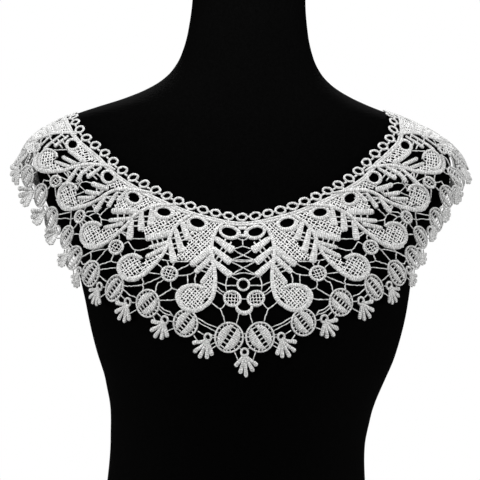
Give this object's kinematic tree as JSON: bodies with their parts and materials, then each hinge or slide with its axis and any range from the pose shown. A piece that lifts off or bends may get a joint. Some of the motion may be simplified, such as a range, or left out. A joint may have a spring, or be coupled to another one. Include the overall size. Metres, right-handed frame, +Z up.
{
  "type": "lace collar on a limbless dress form",
  "caption": "Deep round guipure lace collar with a looped neck edge and a border of ovals and fans, lying round the shoulders of a plain limbless dress form on a flat base.",
  "frame": {"origin": "middle of the dress form's flat base", "axes": "+Z up the form to its neck, -Y out of the wearer's front, +X to the wearer's left"},
  "size_m": [0.462, 0.2212, 0.583],
  "materials": {
    "form": "smooth, plain black",
    "lace": "white guipure lace, satin stitched thread"
  },
  "bodies": {
    "root": {"dress_form": "form", "lace_front": "lace", "lace_back": "lace"}
  },
  "joints": []
}
